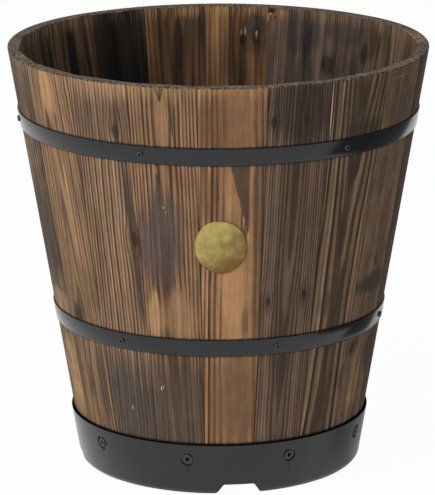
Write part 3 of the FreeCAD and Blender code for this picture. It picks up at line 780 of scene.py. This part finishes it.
# painted shade: the plate is darker towards its right and its bottom. It is also darker round its edge.
shade = (from_middle * 15 - above_middle * 18 + (patina - 0.5) * 1.8).step(-0.7, 0.8)
rim = ((from_middle / (PLATE_WIDTH / 2)) ** 2 + (above_middle / (PLATE_TALL / 2)) ** 2).step(0.84, 1.0)
brass_tint = brass.blend(shade, colour(188, 168, 104), colour(118, 95, 54))
brass_tint = brass.blend(cast.step(0.5, 0.8) * 0.3, brass_tint, colour(100, 82, 44))
brass_tint = brass.blend(rim * 0.4, brass_tint, colour(84, 68, 36))
brass.feed(Base_Color=brass_tint, Roughness=0.3 + 0.25 * patina)
brass.bump(cast * 0.6 + patina * 2.5, 0.5, 0.0008)
finish_piece(plate, brass.material, "brass", "brass_plate", angle=60)

for number, hand in enumerate((-1, 1), 1):
    bpy.ops.object.select_all(action="DESELECT")
    bpy.ops.mesh.primitive_cylinder_add(vertices=24, radius=PIN_RADIUS, depth=PIN_HEAD * 2)
    pin = start_piece(f"plate_pin_{number}_head")
    bpy.ops.object.mode_set(mode="EDIT")
    pick(pin, lambda co: co.z > 0, "EDGE")
    bpy.ops.mesh.bevel(offset=PIN_HEAD, segments=4, affect="EDGES")
    bpy.ops.object.mode_set(mode="OBJECT")
    seat_on_wall(pin, PLATE_TURN + hand * PIN_SPACING / 2 / wall_radius(PLATE_LEVEL), PLATE_LEVEL, PIN_SEAT)
    finish_piece(pin, brass.material, "brass", "plate_pins")

# Floor: five planed boards of the same softwood, their ends cut to the round of the staves. They lie
# loose on the ledge of the base ring, side by side with gaps for water.

FLOOR_LIGHT, FLOOR_DARK, FLOOR_YEAR = (146, 114, 84), (92, 70, 52), 4.5

for number in range(1, 6):
    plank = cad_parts[f"floor_board_{number}"]
    low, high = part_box(f"floor_board_{number}")
    planed = Finish(f"planed_wood_{number}")
    x, y, z = planed.split(planed.place)
    across, along, up = x * 1000 - (low.x + high.x) * 500, y * 1000, z * 1000
    slow = planed.noise(planed.vector(across * 0.02, up * 0.02, along * 0.005), 1, number, 2)
    fibre = planed.noise(planed.vector(across * 0.9, up * 0.9, along * 0.02), 1, number + 9, 4, 0.65)
    from_heart = ((across - 9 * number + 20) ** 2 + (up + 18) ** 2).math("SQRT")
    season = (from_heart / FLOOR_YEAR + slow * 2).math("FRACT")
    late = season.step(0.4, 0.86) * (1 - season.step(0.92, 1.0))
    tint = planed.blend(late * 0.8, colour(*FLOOR_LIGHT), colour(*FLOOR_DARK))
    tint = planed.blend(1.0, tint, 0.7 + 0.6 * fibre, "MULTIPLY")
    planed.feed(Base_Color=tint, Roughness=0.6 + 0.2 * fibre)
    planed.bump(late + fibre, 0.4, 0.0006)
    plank.data.materials.clear()
    plank.data.materials.append(planed.material)

# Stage: a plain white floor, painted darker to the right only where the hoops and the base mirror it, a
# big soft light from the front left, and the camera at the place from which the planter was taken.

WHITE, PAPER = (1, 1, 1, 1), (0.85, 0.85, 0.85, 1)
HOOP_DARKER, BASE_DARKER, PAPER_GLOW = 0.87, 0.56, 0.965
UNDER_BASE, FRONT_NOTCH = (0.158, 0.166), (-0.115, -0.105)

bpy.ops.object.select_all(action="DESELECT")
bpy.ops.mesh.primitive_plane_add(size=30)
floor = bpy.context.object
floor.name = "studio_floor"
paper = Finish("white_paper", Base_Color=PAPER, Roughness=0.9)
seen = paper.node("ShaderNodeLightPath", out="Is Camera Ray")
mirrored = paper.node("ShaderNodeLightPath", out="Is Glossy Ray")
x, y, _ = paper.split(paper.place)
# painted reflection: mirrored rays see these patches of the floor darker, while the camera sees it white
past_near_side = (y + 0.04 - (x - 0.49) * 0.26).step(-0.02, 0.02)
before_far_side = (0.28 + (x - 0.48) * 1.08 - y).step(-0.03, 0.03)
in_lower_hoop = past_near_side * before_far_side * x.step(0.36, 0.42) * (1 - x.step(0.6, 0.68))
past_near_side = (y + 0.43 + (x - 0.85) * 0.34).step(-0.06, 0.06)
before_far_side = (0.94 + (x - 0.98) * 1.3 - y).step(-0.05, 0.05)
in_upper_hoop = past_near_side * before_far_side * x.step(0.6, 0.68)
in_base = y.step(-0.15, -0.05) * x.step(0.0, 0.1) * (1 - x.step(0.3, 0.42))
tone = 1 - (in_lower_hoop + in_upper_hoop) * HOOP_DARKER - in_base * BASE_DARKER
glow = paper.node("ShaderNodeEmission", {}, {"Color": paper.blend(seen, tone, WHITE)})
in_open = (x ** 2 + y ** 2).math("SQRT").step(*UNDER_BASE).math("MAXIMUM", 1 - y.step(*FRONT_NOTCH))
paper.cover(seen.math("MAXIMUM", mirrored) * in_open * PAPER_GLOW, glow)
floor.data.materials.append(paper.material)

world = bpy.data.worlds.new("studio")
bpy.context.scene.world = world
world.use_nodes = True
world.node_tree.nodes["Background"].inputs["Color"].default_value = WHITE
world.node_tree.nodes["Background"].inputs["Strength"].default_value = 0.45

LAMP_PLACE, LAMP_AIM = Vector((-2.6, -2.4, 2.4)), Vector((0, 0, 0.25))
bpy.ops.object.light_add(type="AREA", location=LAMP_PLACE)
lamp = bpy.context.object
lamp.name = "key_softbox"
lamp.data.size = 2.4
lamp.data.energy = 110
lamp.rotation_euler = (LAMP_AIM - LAMP_PLACE).to_track_quat("-Z", "Y").to_euler()

FOCAL_PIXELS, FRAME_PIXELS, SENSOR = 3518.3, 495, 24
CAMERA_DISTANCE, CAMERA_AIM_HEIGHT = 4.2201, 0.2527
CAMERA_RISE, CAMERA_ROLL = math.radians(14.97), math.radians(-0.16)
bpy.ops.object.camera_add()
camera = bpy.context.object
camera.data.sensor_fit = "VERTICAL"
camera.data.sensor_height = SENSOR
camera.data.lens = FOCAL_PIXELS / FRAME_PIXELS * SENSOR
camera.data.shift_x = -0.00285
camera.data.shift_y = 0.0046
camera.matrix_world = (
    Matrix.Translation((0, -CAMERA_DISTANCE * math.cos(CAMERA_RISE),
                        CAMERA_AIM_HEIGHT + CAMERA_DISTANCE * math.sin(CAMERA_RISE)))
    @ Matrix.Rotation(math.pi / 2 - CAMERA_RISE, 4, "X")
    @ Matrix.Rotation(CAMERA_ROLL, 4, "Z")
)
bpy.context.scene.camera = camera
bpy.context.scene.view_settings.view_transform = "Standard"
